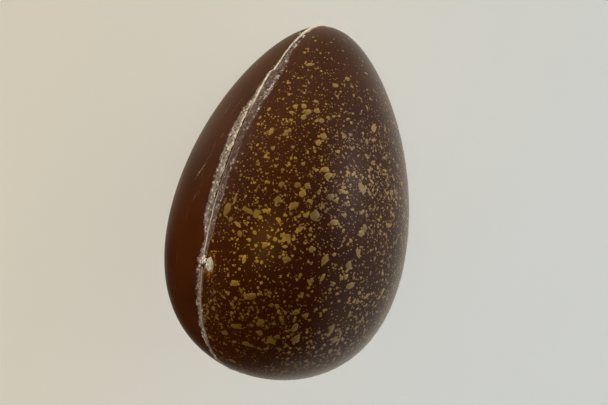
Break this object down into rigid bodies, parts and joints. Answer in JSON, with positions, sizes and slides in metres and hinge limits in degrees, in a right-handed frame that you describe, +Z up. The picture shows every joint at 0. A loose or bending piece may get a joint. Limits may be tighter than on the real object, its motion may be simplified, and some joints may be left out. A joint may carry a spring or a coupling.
{
  "type": "chocolate easter egg",
  "caption": "Moulded chocolate egg lying on its side, half plain and half spattered with gold, joined by a thin cream seam with rough scraped edges.",
  "frame": {"origin": "middle of the footprint of the egg's box, on the surface it lies on", "axes": "+Z up, +Y along the egg towards its narrow end, which dips by about 9 degrees, +X towards the gilded side"},
  "size_m": [0.094, 0.1394, 0.0946],
  "materials": {
    "dark_milk_chocolate": "satin dark milk chocolate, rough and greyish along the scraped seam",
    "gilded_chocolate": "satin dark milk chocolate spattered all over with edible gold",
    "cream": "pale matt cream"
  },
  "bodies": {
    "root": {"plain_half": "dark_milk_chocolate", "gold_half": "gilded_chocolate", "cream_seam": "cream"}
  },
  "joints": []
}
